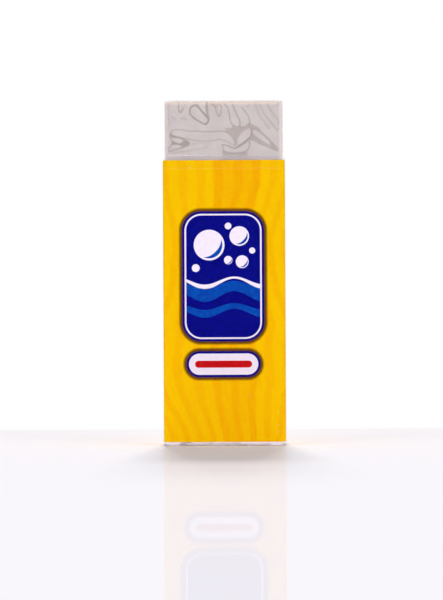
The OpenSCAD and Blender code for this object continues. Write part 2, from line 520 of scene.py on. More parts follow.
def soft_shadow_material(cx, cz, half_w, half_h, r, reach):
    """Brown print that fades out over reach mm from a rounded rectangle round (cx, cz)."""
    g = material_graph("soft_shadow")
    x, y, z = g.place()
    far_x = g.most(abs(x - cx) - (half_w - r), 0.0)
    far_z = g.most(abs(z - cz) - (half_h - r), 0.0)
    away = g.math("SQRT", far_x * far_x + far_z * far_z) - r
    clear = g.shader("ShaderNodeBsdfTransparent")
    brown = g.shader(
        "ShaderNodeBsdfPrincipled", Base_Color=srgb(120, 74, 14), Roughness=0.5, Specular_IOR_Level=0.03
    )
    return g.finish(g.mix_shaders(g.ramp(away, reach, -0.1, 0.0, 0.85), clear, brown))


def floor_material(far_edge):
    """Glossy white floor with a faint mirror image in it, which goes over into the plain background."""
    g = material_graph("floor")
    x, y, z = g.place()
    base = g.shader("ShaderNodeBsdfDiffuse", Color=srgb(250, 247, 252))
    mirror = g.shader("ShaderNodeBsdfGlossy", Color=WHITE, Roughness=0.02)
    floor = g.mix_shaders(0.1, base, mirror)
    path = g.node("ShaderNodeLightPath")
    beyond = g.ramp(y, far_edge - 8.0, far_edge + 8.0) * path.outputs["Is Camera Ray"]
    return g.finish(g.mix_shaders(beyond, floor, g.shader("ShaderNodeEmission")))


# The film's marks

# Cling marks on the block's front, in mm right of its left edge and down from its top.
# Each line is (width, strength, points); each patch is (strength, outline).
CLING_LINES = [
    (0.1, 1, [(2.5, 0.5), (2.4, 1.3), (2.8, 2.1), (3.2, 1.4)]),
    (0.1, 0.5, [(2.8, 2.1), (3.3, 1.4), (3.6, 0.6)]),
    (0.24, 1, [
        (5.7, 0.7), (4.8, 1), (4.5, 1.6), (4.5, 2.3), (5, 2.9), (6.2, 3.7), (7.3, 4.2), (7.7, 3.7),
    ]),
    (0.3, 1, [(7.3, 4.2), (7.8, 3.4), (7.1, 2.4), (6.2, 1.4), (5.6, 0.7)]),
    (0.42, 0.8, [(7.5, 0.4), (7.5, 1.4), (7.6, 2.3), (7.8, 3.3)]),
    (0.18, 0.9, [(8.2, 0.6), (8.9, 1), (9.2, 1.9), (9.7, 2.8), (10, 2), (10.1, 1), (9.8, 0.6)]),
    (0.12, 0.9, [(10.6, 0.5), (11.2, 1.2), (11.5, 2.4), (11.7, 3.6), (12.2, 4.5)]),
    (0.12, 0.9, [(12.1, 0.7), (12.6, 1.9), (13, 2.8), (13.4, 3.6), (13.4, 4.6)]),
    (0.14, 0.9, [(13.7, 1.2), (14.5, 2.1), (15, 3), (15.2, 4)]),
    (0.1, 0.6, [(14.7, 1.1), (15, 0.8), (15.1, 0.6)]),
    (0.14, 0.9, [(12.1, 4.3), (12.8, 4.7), (13.4, 4.6), (14.3, 4.7), (15.1, 4)]),
    (0.18, 0.7, [
        (0.9, 6), (1.2, 5.4), (1.9, 5.1), (3.2, 5.2), (4.5, 5.4), (5.9, 5.4), (7.6, 5.5), (10, 5.4),
    ]),
    (0.18, 0.6, [
        (3.2, 6.6), (4.5, 6.9), (6.9, 7.2), (8.5, 7.1), (9.7, 6.9), (10.9, 7.2), (11.9, 7.7), (12.6, 8.1),
    ]),
    (0.12, 0.9, [(10, 5.4), (10.9, 5.6), (11.6, 6), (12.2, 6.7), (12.7, 7.9)]),
    (0.16, 0.9, [(1.1, 5.7), (0.9, 6.2), (1.1, 6.8), (1.4, 7.2), (1.3, 7.7), (0.8, 8.3), (0.4, 9)]),
    (0.12, 0.9, [(0.6, 9.1), (1.8, 8.7), (3, 8.4)]),
    (0.14, 1, [(10.3, 7.8), (11.4, 8.1), (12.3, 8.5), (12.8, 8.4)]),
    (0.14, 1, [
        (10.3, 7.8), (10.3, 8.4), (10.6, 9), (11.6, 9.3), (13.1, 9.3), (14.5, 9), (15.1, 8.1),
        (15.1, 7.3),
    ]),
    (0.3, 1, [(12.8, 8.3), (13.8, 7.7), (15.1, 6.7)]),
    (0.2, 1, [(15.3, 4.8), (15.5, 5.5), (15.3, 6.6)]),
    (0.11, 0.7, [(16.9, 0.5), (17.3, 1.4), (17.9, 2.6), (18.9, 3.8), (20.1, 5.4)]),
    (0.09, 0.7, [(20.1, 5.4), (20.5, 4.8), (20.4, 4), (19.9, 3), (19.1, 1.9), (18.3, 0.7)]),
    (0.5, 0.28, [(16.2, 0.6), (16.6, 1.9), (17.2, 3.1), (18, 4.1), (18.6, 4.9)]),
    (0.4, 0.22, [(18.3, 0.6), (18.8, 1.8), (19.5, 2.9)]),
    (0.12, 0.35, [(0.6, 0.5), (0.6, 2.6), (0.8, 4.6)]),
    (0.45, 0.25, [(3, 3.1), (3.7, 3.2)]),
    (0.4, 0.2, [(1.3, 2.9), (1.8, 3.3)]),
    (0.3, 0.3, [(1.4, 9.3), (3.4, 9), (5.6, 8.7), (7.4, 8.3)]),
    (0.25, 0.2, [(4.4, 7.7), (6.4, 7.6), (8.4, 7.7)]),
    (0.3, 0.5, [(20.4, 0.4), (20.2, 0.7)]),
    (0.2, 0.35, [(8.3, 0.5), (8.8, 0.6), (9.6, 0.6)]),
]
# Lines are darker than patches, because the film is pressed hard there. They are drawn a little wider
# than listed, and none is thinner than LEAST_LINE
LINE_STRENGTH = 1.6
LINE_SPREAD = 1.15
LEAST_LINE = 0.2
CLING_PATCHES = [
    (0.95, [
        (10.4, 4.8), (11.3, 4.9), (11.9, 4.8), (12.2, 4.5), (12.8, 4.7), (13.4, 4.6), (14.2, 4.7),
        (15.1, 4.1), (15.7, 4.4), (15.4, 4.9), (14.3, 5.3), (13.5, 6), (13, 6.9), (12.8, 8),
        (12.5, 7.4), (12.2, 6.7), (11.6, 6), (10.9, 5.6), (10.5, 5.4), (11, 5.2),
    ]),
    (1.5, [(0.9, 5.8), (1.8, 6.2), (3.2, 6.5), (3.5, 6.9), (3.2, 7), (2.5, 6.7), (1.5, 6.6), (1, 6.4)]),
    (1.5, [
        (1.3, 7.2), (2.4, 7.5), (3.1, 7.3), (3.3, 6.8), (3.9, 7), (4.4, 7.4), (4.3, 8), (3.6, 8.3),
        (3, 8.5), (2.7, 8), (2, 7.8), (1.2, 7.8),
    ]),
    (1.05, [
        (10.4, 9), (11.6, 9.35), (13.3, 9.35), (14.5, 9), (14.7, 9.3), (14.75, 9.8), (14.75, 10.3),
        (14.4, 10.6), (12.6, 10.7), (10.7, 10.6), (10.3, 10.3), (10.3, 9.8), (10.3, 9.4),
    ]),
    (1, [
        (15, 4), (15.8, 4.3), (16.7, 4.8), (17.5, 5.7), (18.6, 6.7), (19.6, 7.8), (20.2, 8.4),
        (20.3, 9.1), (19.4, 8.9), (18.4, 8.4), (17, 7.9), (16, 7.3), (15.1, 7.2), (13.8, 8.1),
        (12.9, 8.5), (12.7, 8.2), (13.8, 7.5), (15, 6.5), (15.4, 6), (15.4, 5),
    ]),
    (0.7, [(4.9, 0.6), (6.1, 0.6), (6.2, 1.4), (5.8, 1.2), (5.3, 1), (4.8, 1)]),
    (0.7, [(8.4, 0.6), (9.6, 0.6), (9.5, 1), (9.3, 1.5), (8.9, 1)]),
]
# Cells where the film lifts off inside or beside the patches
CLING_CELLS = [
    [
        (15.7, 5.5), (16, 5.25), (16.6, 5.5), (17.5, 6.2), (18.4, 7.1), (18.8, 7.8), (18.2, 7.6),
        (17, 6.9), (16, 6.1),
    ],
    [
        (13, 7.7), (13.05, 6.9), (13.7, 5.9), (14.5, 5.2), (15.2, 4.95), (15.3, 5.5), (14.9, 6.4),
        (14.1, 7.2), (13.3, 7.8),
    ],
    [(1.5, 6.8), (2.2, 6.8), (3, 7), (3.1, 7.2), (2.6, 7.35), (1.8, 7.1)],
    [
        (10.5, 8), (11.5, 8.3), (12.4, 8.65), (13.6, 8.35), (14.9, 7.6), (14.9, 8.1), (14.3, 8.8),
        (13, 9.15), (11.6, 9.1), (10.7, 8.8),
    ],
]
# White specks in and under the film on the front: right of the block's left edge, down from its top, radius
SPECKS = [
    (1.65, 2.45, 0.09),
    (12.83, 8.1, 0.07),
    (4.42, 11.95, 0.07),
    (15.05, 52.85, 0.07),
    (19.98, 55.6, 0.08),
    (20.07, 57.95, 0.08),
    (19.98, 59.2, 0.07),
]


def front_touch(right, down):
    """How firmly, 0 to 2, the film touches the block's front, by mm from its upper left corner."""
    points = np.column_stack([right, down])
    touch = np.zeros(len(points))
    for width, strength, line in CLING_LINES:
        away = distance_to(points, curve_through(line))
        width = max(LINE_SPREAD * width, LEAST_LINE)
        soft = 0.06 + 0.25 * width
        pressed = 1 - rise(width / 2 - soft / 2, width / 2 + soft / 2, away)
        touch = np.maximum(touch, LINE_STRENGTH * strength * pressed)
    for strength, patch in CLING_PATCHES:
        touch = np.maximum(touch, strength * (1 - rise(-0.08, 0.06, outside_by(points, patch))))
    for cell in CLING_CELLS:
        touch *= rise(-0.06, 0.05, outside_by(points, cell))
    return touch


def wandering_touch(points, seed):
    """Cling marks for the sides that the photograph doesn't show: long lobes with dark rims."""
    lobe_size = 3.6
    drift_size = 6.0

    def lobes_at(places):
        drift = np.column_stack([noise_at(places, drift_size, seed + k, 1) for k in (1, 2, 3)])
        return noise_at(places + 3.6 * drift, lobe_size, seed + 4, 1)

    # Dividing by the slope turns the lobes' levels into distances in mm, so that the rims keep one width
    lobes = lobes_at(points)
    step = 0.05
    rises = [(lobes_at(points + step * axis) - lobes) / step for axis in np.eye(3)]
    slope = np.maximum(np.linalg.norm(rises, axis=0), 0.05)
    patches = 0.75 * rise(0.0, 0.15, (lobes - 0.36) / slope)
    outer_rim = bump(0.0, 0.24, (lobes - 0.1) / slope)
    inner_rim = 0.7 * bump(0.0, 0.22, (lobes + 0.16) / slope)
    return np.maximum.reduce([patches, outer_rim, inner_rim])


def tube_touch(places, side):
    """How firmly the film round the block touches it, by place and side."""
    touch = np.zeros(len(places))
    over_block = places[:, 2] > SLEEVE_HIGH.z
    front = over_block & (side == FRONT)
    touch[front] = front_touch(places[front, 0] - BLOCK_LOW.x, BLOCK_HIGH.z - places[front, 2])
    other = over_block & (side != FRONT) & (side != CORNER)
    touch[other] = wandering_touch(places[other], 3)
    return touch


def tube_highlights(places, side):
    """Painted highlights: white glints along the tear tape's two edges, and a painted white haze on the film
    in the bridge.
    """
    x, z = places[:, 0], places[:, 2]
    on_front = side == FRONT
    # Painted highlight: the upper edge glints on the left, breaks into dashes and fades to the right
    reach = 1 - rise(-8.0, -1.5, x)
    dashes = 0.5 + 0.5 * np.sin(x * 9.0 + 3 * np.sin(x * 2.3))
    dashed = rise(-8.2, -7.4, x) * (1 - rise(-3.2, -2.2, x)) * rise(0.45, 0.9, dashes)
    bright = np.maximum(0.75 * reach * (0.55 + 0.45 * dashes), 0.8 * dashed) + 0.10
    upper = bump(BRIDGE_TOP + 0.03, 0.11, z) * np.where(on_front, bright, 0.12)
    lower = bump(TAPE_LOW.z, 0.09, z) * 0.05
    haze = np.where(on_front, 0.12, 0.03) * rise(SLEEVE_HIGH.z, SLEEVE_HIGH.z + 0.2, z)
    haze = haze * (1 - rise(BRIDGE_TOP - 0.1, BRIDGE_TOP + 0.05, z))
    return np.clip(np.maximum.reduce([upper, lower, haze]), 0, 1)


def foot_marks(x, t, wrinkle):
    """How much painted sheen and painted shade the lower fold's front gets, from the sleeve, t = 0, to the
    floor, t = 1.
    """
    # Painted highlights: white at the left end, in a short glint at the middle and in a strip along the
    # right, dull in between
    left_end = rise(-7.0, -8.6, x) * (0.9 - 0.2 * t)
    slope = 0.12 + 0.12 * rise(-1.2, 1.2, x)
    glint = rise(-1.9, -1.3, x) * rise(1.6, 1.0, x) * bump(slope, 0.25, t)
    strip = rise(2.0, 3.2, x) * bump(0.22, 0.6, t)
    right_end = rise(6.5, 8.8, x)
    # A painted highlight on a wrinkle runs along just above the floor
    low_wrinkle = rise(-8.0, -6.4, x) * bump(0.80 + 0.06 * np.sin(1.1 * x), 0.22, t)
    whiteness = 0.46 + 0.25 * np.clip(wrinkle, -0.4, 0.6)
    whiteness = np.maximum.reduce(
        [whiteness, left_end, 0.97 * glint, 0.95 * strip, 0.9 * right_end, 0.8 * low_wrinkle]
    )
    # Painted shade in dark folds: under the sleeve from the left to the middle, right of the glint, and at
    # the right tip
    long_fold = rise(-8.6, -6.5, x) * rise(-1.5, -2.4, x) * bump(0.12, 0.36, t)
    long_fold = long_fold * (0.55 + 0.75 * rise(-7.0, -5.0, x))
    short_fold = rise(1.0, 1.6, x) * rise(3.2, 2.6, x) * bump(0.1, 0.3, t)
    dull = rise(-7.0, -4.0, x) * rise(3.0, 2.0, x) * bump(0.5, 0.3, t)
    tip = bump(10.2, 0.35, x) * bump(0.35, 0.3, t)
    dark = np.maximum.reduce([long_fold, 0.3 * short_fold, 0.2 * dull, 0.6 * tip])
    return whiteness * (1 - 0.6 * dark), dark


# The film's shape

FRONT, RIGHT, BACK, LEFT, CORNER = range(5)
# Steps of the film's rings on the front, right, back and left, and round a corner
FACE_STEPS = (190, 46, 88, 46)
CORNER_STEPS = 5
# Rows of the film in each span going up: the foot, the plain sleeve, the tape's lower edge, the tape,
# the sleeve's edge with the bridge, and the bare block
ROW_COUNTS = (12, 34, 12, 4, 26, 89)


def ring(half_w, front, back, r):
    """A rounded rectangle from the front's left end, counterclockwise from above.

    Returns its points, their normals and the side that each is on.
    """
    x, y0, y1 = half_w - r, front + r, back - r
    centres = np.array([(-x, y0), (x, y0), (x, y1), (-x, y1)])
    found = []
    for side, steps in enumerate(FACE_STEPS):
        start, end = centres[side], centres[(side + 1) % 4]
        along = np.linspace(0, 1, steps + 1)[1:-1]
        found += [(start * (1 - t) + end * t, side - 1, side) for t in along]
        found += [(end, side - 1 + t, CORNER) for t in np.linspace(0, 1, CORNER_STEPS + 1)]
    places, quarter_turns, sides = (np.array(column) for column in zip(*found))
    angles = quarter_turns * math.pi / 2
    normals = np.column_stack([np.cos(angles), np.sin(angles)])
    return places + r * normals, normals, sides


def tube_heights():
    """Heights of the film's rows, close together where it shows detail."""
    foot, tape, edge = SLEEVE_LOW.z, TAPE_LOW.z, SLEEVE_HIGH.z
    stops = [foot, foot + 1.5, tape - 0.4, tape + 0.4, edge - 0.15, BRIDGE_TOP + 0.3, BLOCK_HIGH.z]
    spans = zip(stops, stops[1:], ROW_COUNTS)
    rows = [np.linspace(low, high, count, endpoint=False) for low, high, count in spans]
    return np.concatenate(rows + [[BLOCK_HIGH.z]])


def inwards_at(heights):
    """How far the film has come in from the card to the block. It leaves the sleeve's edge at once."""
    return rise(SLEEVE_HIGH.z - 0.02, BRIDGE_TOP, heights)


def tube_points():
    """The film round the sleeve and the block: points by row, with its cling marks and painted shade, and
    its frost and painted highlights.
    """
    card, normals, sides = ring(SLEEVE_HIGH.x, SLEEVE_LOW.y, SLEEVE_HIGH.y, CREASE_R)
    block, _, _ = ring(BLOCK_HIGH.x, BLOCK_LOW.y, BLOCK_HIGH.y, BLOCK_R)
    heights = tube_heights()
    edge = SLEEVE_HIGH.z
    inwards = inwards_at(heights)[:, None, None]
    base = card * (1 - inwards) + block * inwards
    rows, around = base.shape[:2]
    places = np.column_stack([base.reshape(-1, 2), np.repeat(heights, around)])
    x, z = places[:, 0], places[:, 2]
    side = np.tile(sides, rows)
    arrived = rise(edge + BRIDGE_L * 0.8, edge + BRIDGE_L * 1.15, heights)
    on_block = np.repeat(arrived, around)
    touch = tube_touch(places, side)

    lift = on_block * (1 - np.minimum(touch, 1.0))
    gap = CARD_GAP * (1 - on_block) + on_block * TOUCHING_GAP + (LIFTED_GAP - TOUCHING_GAP) * lift
    # Slack, fine wrinkles and the ridge over the tape's upper edge
    slack = 0.016 * noise_at(places * (0.35, 0.35, 0.12), 1.0, 11)
    wrinkles = 0.006 * noise_at(places, 1.3, 12)
    ridge = bump(BRIDGE_TOP + 0.02, 0.14, z) * (0.05 + 0.02 * np.sin(x * 5.1))
    lump = np.clip(slack + wrinkles, -0.02, 0.03) * (1 - 0.6 * on_block)
    points = places.copy()
    points[:, :2] += np.tile(normals, (rows, 1)) * (gap + lump + ridge)[:, None]

    # The painted white fades beside the block, where the film stands free. On the front the bridging film
    # gets painted shade, dimmer than what lies flat on the block, most of all in the middle, which hides the
    # cling marks
    before_block = rise(BLOCK_HIGH.x + 0.05, BLOCK_HIGH.x - 0.25, np.abs(x))
    frost_and_highlight = tube_highlights(places, side) * np.where((z > edge - 0.05) & (side != BACK), before_block, 1.0)
    bridge = rise(edge - 0.02, edge + 0.1, z) * (1 - on_block) * before_block
    dimming = (0.4 + 0.6 * bump(2.0, 4.2, x)) * (side == FRONT)
    touch = np.maximum(touch * (1 - bridge), bridge * dimming)
    return points.reshape(rows, around, 3), touch, frost_and_highlight


def grid_faces(rows, columns, wrap=False):
    faces = []
    across = columns if wrap else columns - 1
    for r in range(rows - 1):
        for c in range(across):
            a = r * columns + c
            b = r * columns + (c + 1) % columns
            faces.append((a, b, b + columns, a + columns))
    return faces


class Sheet:
    """Collects patches of film into one mesh."""

    def __init__(self):
        self.points, self.faces, self.touch, self.frost_and_highlight = [], [], [], []
        self.count = 0

    def add(self, points, faces, touch, frost_and_highlight):
        self.points.append(np.asarray(points, float))
        self.faces += [tuple(i + self.count for i in f) for f in faces]
        self.touch.append(np.broadcast_to(touch, len(points)))
        self.frost_and_highlight.append(np.broadcast_to(frost_and_highlight, len(points)))
        self.count += len(points)

    def patch(self, corners, shape, rows, columns):
        """A patch between four corners, given in order round it.

        shape(points, s, t) returns the moved points, their cling marks and painted shade, and their frost
        and painted highlights. s runs from 0 to 1 along the first edge, and t from that edge to the opposite
        one.
        """
        a, b, c, d = (np.array(p, float) for p in corners)
        s, t = np.meshgrid(np.linspace(0, 1, columns), np.linspace(0, 1, rows))
        s, t = s.ravel()[:, None], t.ravel()[:, None]
        points = (a * (1 - s) + b * s) * (1 - t) + (d * (1 - s) + c * s) * t
        points, touch, frost_and_highlight = shape(points, s[:, 0], t[:, 0])
        self.add(points, grid_faces(rows, columns), touch, frost_and_highlight)

    def mesh(self, name):
        mesh = bpy.data.meshes.new(name)
        mesh.from_pydata([tuple(v) for v in np.vstack(self.points) * MM], [], self.faces)
        mesh.validate()
        for key, parts in (("touch", self.touch), ("frost_and_highlight", self.frost_and_highlight)):
            layer = mesh.attributes.new(key, "FLOAT", "POINT")
            layer.data.foreach_set("value", np.concatenate(parts).astype(np.float32))
        return mesh


def both_ends(width, value):
    """1 at 0 and at 1, falling to 0 over width."""
    return np.maximum(bump(0.0, width, value), bump(1.0, width, value))


class Fold:
    """The measures of an envelope fold over one end.

    level is the wrapped end's height, rim the film's half width, front, back and radius there, and turned is
    -1 below and 1 above. height is how far the folded film stands off, bulge how far its walls belly out,
    haze how strongly their painted sheen, highlights and shade show, and clings says whether it has cling
    marks.
    """

    def __init__(self, level, rim, turned, height, bulge, haze, clings, seed):
        self.level, self.turned, self.height = level, turned, height
        self.half_w, self.front, self.back, self.r = rim
        self.bulge, self.haze, self.clings, self.seed = bulge, haze, clings, seed
        self.depth = self.back - self.front
        self.flap_l = (self.depth + FLAP_OVERLAP) / 2
        run = 1 / math.tan(FLAP_ANGLE)
        self.wall_half = self.half_w - self.r
        self.base_half = self.wall_half - height * run
        self.tip_half = self.base_half - self.flap_l * run

    def out(self, distance):
        """The height at distance mm out from the wrapped end."""
        return self.level + self.turned * distance

    def edge_y(self, facing):
        return self.front if facing < 0 else self.back

    def lift(self, facing):
        return FLAP_LIFT if facing < 0 else 0.0

    def on_face(self, facing, x, along=0.0, off=0.02):
        """A point along mm in from a side's edge, off mm short of the fold's outer face."""
        return (x, self.edge_y(facing) - facing * along, self.out(self.height - off))

    def crumple(self, points, amount, scale, seed_step):
        push = amount * noise_at(points, scale, self.seed + seed_step, 3)
        points = points.copy()
        points[:, 2] -= self.turned * np.abs(push)
        return points

    def marks(self, points, seed_step, strength, plain):
        """Cling marks where the film clings, and otherwise a plain level."""
        return wandering_touch(points, self.seed + seed_step) * strength if self.clings else plain


def tuck(sheet, fold, side):
    """A side tuck, flat on the end, which narrows from the corners."""

    def shape(points, s, t):
        crumpled = fold.crumple(points, 0.1 * fold.height, 1.2, 1)
        crumpled[t == 0, 2] = fold.level
        # Painted highlights along its edges
        rim = np.maximum(both_ends(0.04, s), bump(1.0, 0.03, t))
        return crumpled, fold.marks(crumpled, 20, 0.8, 0.1), 0.10 + 0.25 * rim

    outer, inner = side * fold.half_w, side * (fold.half_w - TUCK_L)
    narrow = min(TUCK_L * 0.85, fold.depth / 2 - 0.3)
    z = fold.out(0.03)
    corners = [
        (outer, fold.front + fold.r, z),
        (outer, fold.back - fold.r, z),
        (inner, fold.back - narrow, z),
        (inner, fold.front + narrow, z),
    ]
    sheet.patch(corners, shape, rows=18, columns=30)


def wall(sheet, fold, facing):
    """The short wall between the wrapped end and a flap, which buckles outwards."""

    def shape(points, s, t):
        buckled = points.copy()
        belly = np.sin(np.pi * t)
        wrinkle = noise_at(points * (0.45, 1.0, 1.6), 0.8, fold.seed + 3, 3)
        buckled[:, 1] += facing * (fold.bulge * belly * (0.55 + 0.8 * wrinkle))
        # Its far edge wanders
        uneven = 0.5 + 0.5 * noise_at(points, 2.3, fold.seed + 4)
        buckled[:, 2] -= fold.turned * (rise(0.5, 1.0, t) * fold.height * 0.22 * uneven)
        # Its ends follow the rounded corners
        beyond = np.clip(np.abs(points[:, 0]) - fold.wall_half, 0, 0.98 * fold.r)
        buckled[:, 1] -= facing * (fold.r - np.sqrt(fold.r * fold.r - beyond * beyond))
        if fold.turned < 0 and facing < 0:
            whiteness, dark = foot_marks(points[:, 0], t, wrinkle)
        else:
            # Painted sheen where the wall bellies out and near its far edge, and painted shade along its two
            # edges
            shine = rise(0.1, 0.5, wrinkle) * belly
            whiteness = 0.42 + 0.5 * shine + 0.3 * rise(0.75, 0.95, t)
            dark = 0.25 * (1 - belly)
        return buckled, dark * fold.haze, np.clip(fold.haze * whiteness, 0, 0.95)

    y = fold.edge_y(facing)
    corners = [
        (-fold.half_w, y, fold.level),
        (fold.half_w, y, fold.level),
        fold.on_face(facing, fold.base_half),
        fold.on_face(facing, -fold.base_half),
    ]
    sheet.patch(corners, shape, rows=12, columns=150)


def flap(sheet, fold, facing):
    """A flap, whose side edges rake in."""

    def shape(points, s, t):
        crumpled = fold.crumple(points, 0.05, 2.6, 5)
        crumpled[:, 2] -= fold.turned * (rise(0.75, 0.9, t) * fold.lift(facing))
        # Painted highlights along its hem, along the edge where it meets the wall and on its creases
        hem = np.maximum(both_ends(0.015, s), bump(1.0, 0.02, t))
        wrinkles = noise_at(points * (0.3, 1.0, 1.0), 1.1, fold.seed + 6, 3)
        creases = 0.12 * rise(0.35, 0.6, wrinkles)
        frost_and_highlight = 0.04 + 0.3 * hem + (0.02 + 0.3 * fold.haze) * bump(0.0, 0.05, t) + creases
        return crumpled, fold.marks(points, 30, 0.75, 0.12), np.clip(frost_and_highlight, 0, 0.8)

    corners = [
        fold.on_face(facing, -fold.base_half),
        fold.on_face(facing, fold.base_half),
        fold.on_face(facing, fold.tip_half, fold.flap_l),
        fold.on_face(facing, -fold.tip_half, fold.flap_l),
    ]
    sheet.patch(corners, shape, rows=36, columns=90)


def gusset(sheet, fold, facing, side):
    """The ply from a corner to under a flap's raked edge."""

    def shape(points, s, t):
        # Painted highlights along its sides
        return fold.crumple(points, 0.04, 1.5, 7), 0.1, 0.10 + 0.3 * both_ends(0.05, s)

    y = fold.edge_y(facing)
    inner_y = y - facing * TUCK_L * 0.8
    corners = [
        (side * fold.wall_half, y, fold.out(0.02)),
        (side * (fold.half_w - TUCK_L), inner_y, fold.out(0.05)),
        fold.on_face(facing, side * fold.tip_half, fold.flap_l, 0.05 + fold.lift(facing)),
        fold.on_face(facing, side * fold.base_half, off=0.04),
    ]
    sheet.patch(corners, shape, rows=20, columns=20)


def end_fold(sheet, fold):
    """All the plies of a fold."""
    for side in (-1, 1):
        tuck(sheet, fold, side)
    for facing in (-1, 1):
        wall(sheet, fold, facing)
        flap(sheet, fold, facing)
        for side in (-1, 1):
            gusset(sheet, fold, facing, side)


def rim_of(low, high, gap, r):
    """A wrapped end's half width, front, back and radius, gap outside its box."""
    return (high.x + gap, low.y - gap, high.y + gap, r + gap)


def lower_fold():
    """The crumpled fold that the eraser stands on."""
    rim = rim_of(SLEEVE_LOW, SLEEVE_HIGH, CARD_GAP, CREASE_R)
    height = SLEEVE_LOW.z - FILM_LOW.z
    return Fold(SLEEVE_LOW.z, rim, -1, height, bulge=0.16, haze=1.0, clings=False, seed=50)


def upper_fold():
    """The fold on the block's bare end, which lies close and clings."""
    rim = rim_of(BLOCK_LOW, BLOCK_HIGH, LIFTED_GAP, BLOCK_R)
    height = (FILM_HIGH.z - BLOCK_HIGH.z) * 0.5
    return Fold(BLOCK_HIGH.z, rim, 1, height, bulge=0.02, haze=0.06, clings=True, seed=60)


def corner_ear(sheet):
    """A small dog-ear of film that stands out of the lower right corner."""

    def shape(points, s, t):
        ear = points.copy()
        ear[:, 1] += 0.06 * noise_at(points, 0.5, 71)
        # Painted shade along its upper edge and a painted highlight along its lower edge
        return ear, 0.3 * (1 - t), 0.08 + 0.3 * bump(1.0, 0.3, t)

    x, y, z = SLEEVE_HIGH.x + CARD_GAP, SLEEVE_LOW.y + 0.2, SLEEVE_LOW.z
    corners = [(x - 1.6, y, z), (x, y, z + 0.3), (x + 0.35, y + 0.1, z - 0.28), (x - 0.9, y, z - 0.6)]
    sheet.patch(corners, shape, rows=10, columns=12)


def lap_seam(sheet):
    """The sheet's outer edge, lying over its inner one down the middle of the back."""
    on_sleeve = np.linspace(SLEEVE_LOW.z + 0.05, SLEEVE_HIGH.z, 60, endpoint=False)
    on_block = np.linspace(SLEEVE_HIGH.z, BLOCK_HIGH.z - 0.05, 40)
    heights = np.concatenate([on_sleeve, on_block])
    across = np.linspace(-SEAM_W / 2, SEAM_W / 2, 15)
    inwards = inwards_at(heights)
    y = (SLEEVE_HIGH.y + CARD_GAP) * (1 - inwards) + (BLOCK_HIGH.y + LIFTED_GAP) * inwards
    x_grid, z_grid = np.meshgrid(across, heights)
    y_grid = np.repeat(y[:, None], len(across), axis=1)
    points = np.column_stack([x_grid.ravel(), y_grid.ravel(), z_grid.ravel()])
    pucker = 0.02 * np.abs(noise_at(points * (0.5, 1, 0.4), 1.0, 41, 3))
    free = rise(0.8, 1.0, np.abs(points[:, 0]) / (SEAM_W / 2))
    points[:, 1] += 0.035 + pucker - 0.02 * free
    faces = [face[::-1] for face in grid_faces(len(heights), len(across))]
    # Painted highlights along its free edges
    sheet.add(points, faces, 0.03, 0.012 + 0.25 * free)


def film_piece(material):
    """The clear film as one mesh: the tube, its lap seam, its corner ear and its two folded ends."""
    sheet = Sheet()
    points, touch, frost_and_highlight = tube_points()
    sheet.add(points.reshape(-1, 3), grid_faces(*points.shape[:2], wrap=True), touch, frost_and_highlight)
    lap_seam(sheet)
    corner_ear(sheet)
    end_fold(sheet, lower_fold())
    end_fold(sheet, upper_fold())
    film = new_piece("film_sheet", sheet.mesh("film_sheet"), material)
    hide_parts("film_wrap")


def speck_piece(material):
    """Small white specks under the film."""
    flatness = 0.3
    built = bmesh.new()
    for right, down, radius in SPECKS:
        z = BLOCK_HIGH.z - down
        y = BLOCK_LOW.y - LIFTED_GAP if z > SLEEVE_HIGH.z else SLEEVE_LOW.y - CARD_GAP
        speck = bmesh.ops.create_icosphere(built, subdivisions=2, radius=radius * MM)
        for vert in speck["verts"]:
            vert.co.y *= flatness
            vert.co += Vector((BLOCK_LOW.x + right, y, z)) * MM
    obj = new_piece("film_specks", mesh_from("film_specks", built), material)


# The print on the sleeve's front: plain shapes in the colours and at the scale of such packs

# Height of one layer of print over the one below, and a printed plate's thickness
INK_STEP = 0.01
INK_T = 0.9 * INK_STEP
# The badge: a tall rounded panel with a pill under it, in mm about the front's centre line
PANEL_X = -0.2
PANEL_Z = 30.3
PANEL = (6.9, 11.2, 3.0)
PILL_Z = 14.6
PILL = (6.2, 1.9, 1.9)
BAR = (5.1, 0.62, 0.62)
# Widths of the navy edge round both shapes, of the shadow round that, and of the line inside the panel
EDGE_W = 0.42
SHADOW_W = 0.8
KEYLINE_W = 0.3
# Bands of water across the panel, and the foam on the upper one: low edge, high edge, swing
WAVES = [(-3.6, -1.5, 0.95), (-6.6, -5.4, 0.8)]
FOAM = (-1.35, -0.75, 0.95)
# Bubbles on the panel: right of its centre, above it, radius. The small ones have no shade
BUBBLES = [
    (-2.5, 5.6, 2.75),
    (2.9, 7.2, 1.75),
    (3.4, 2.6, 1.15),
    (0.9, 2.9, 0.75),
    (0.9, 9.0, 0.6),
    (-4.9, 1.5, 0.7),
    (5.2, 4.6, 0.55),
]
LEAST_SHADED_R = 0.7

NAVY = (srgb(4, 8, 138), srgb(2, 4, 118))
BLUE = (srgb(2, 62, 166), srgb(4, 84, 186))
PAPER_WHITE = (srgb(246, 234, 248), srgb(240, 228, 244))
BUBBLE_WHITE = (srgb(250, 240, 254), srgb(245, 235, 250))
RED = (srgb(206, 18, 24), srgb(190, 10, 20))
SPECK_WHITE = srgb(250, 246, 250)


def grown(size, by):
    """A rounded rectangle's half width, half height and radius, each larger by the same."""
    return tuple(value + by for value in size)


def on_circle(cx, cz, r, angle):
    return (cx + r * math.cos(angle), cz + r * math.sin(angle))


